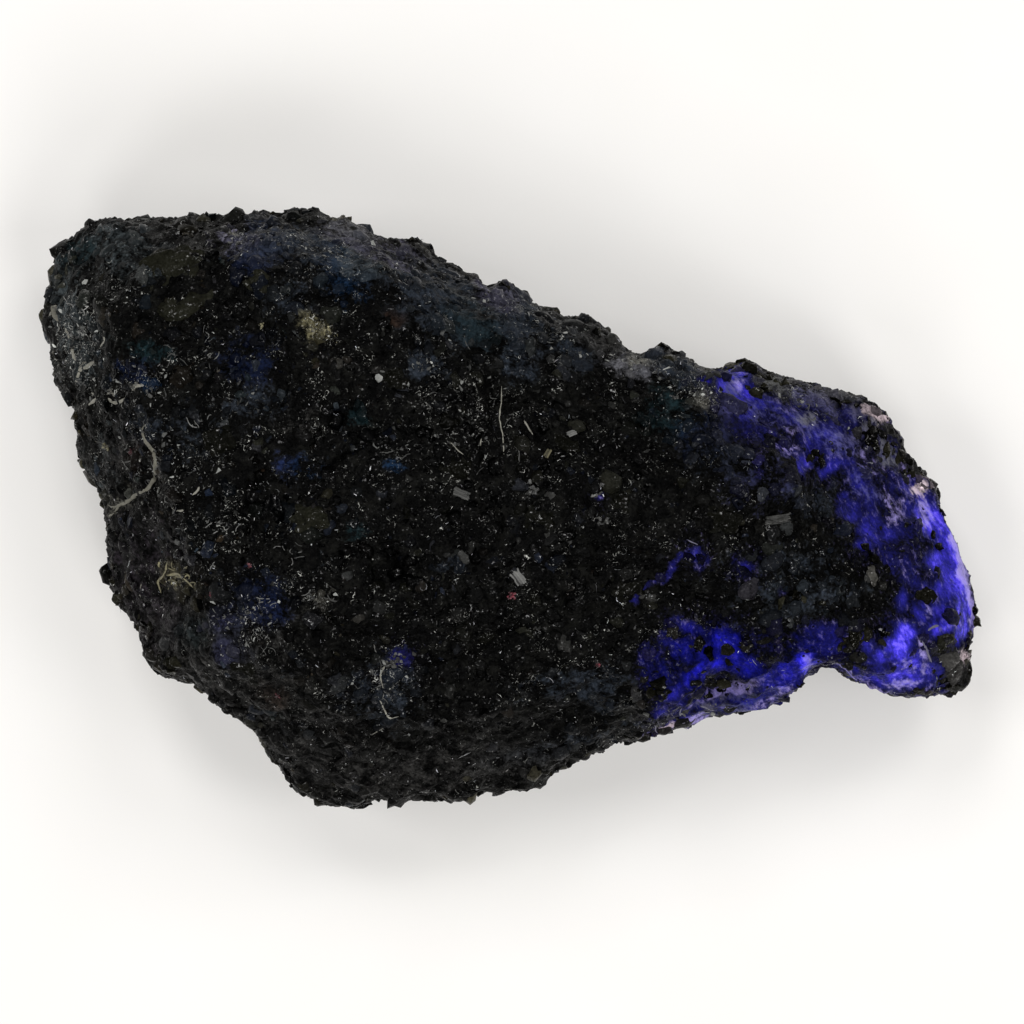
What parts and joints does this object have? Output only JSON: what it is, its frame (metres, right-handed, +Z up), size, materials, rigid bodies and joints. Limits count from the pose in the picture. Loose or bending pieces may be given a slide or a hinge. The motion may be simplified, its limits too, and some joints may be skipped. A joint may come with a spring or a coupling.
{
  "type": "rough sapphire",
  "caption": "Rough sapphire: a broken, tabular lump of near-black corundum under a granular crust, lying on a flat parting face.",
  "frame": {"origin": "bottom centre of the bounding box, on the plane the stone rests on", "axes": "+X along the stone's long side towards its translucent end, +Y across it, +Z up, away from the flat parting face it lies on"},
  "size_m": [0.0468, 0.03, 0.0169],
  "materials": {
    "rough_sapphire": "satin"
  },
  "bodies": {
    "root": {"rough_sapphire": "rough_sapphire"}
  },
  "joints": []
}
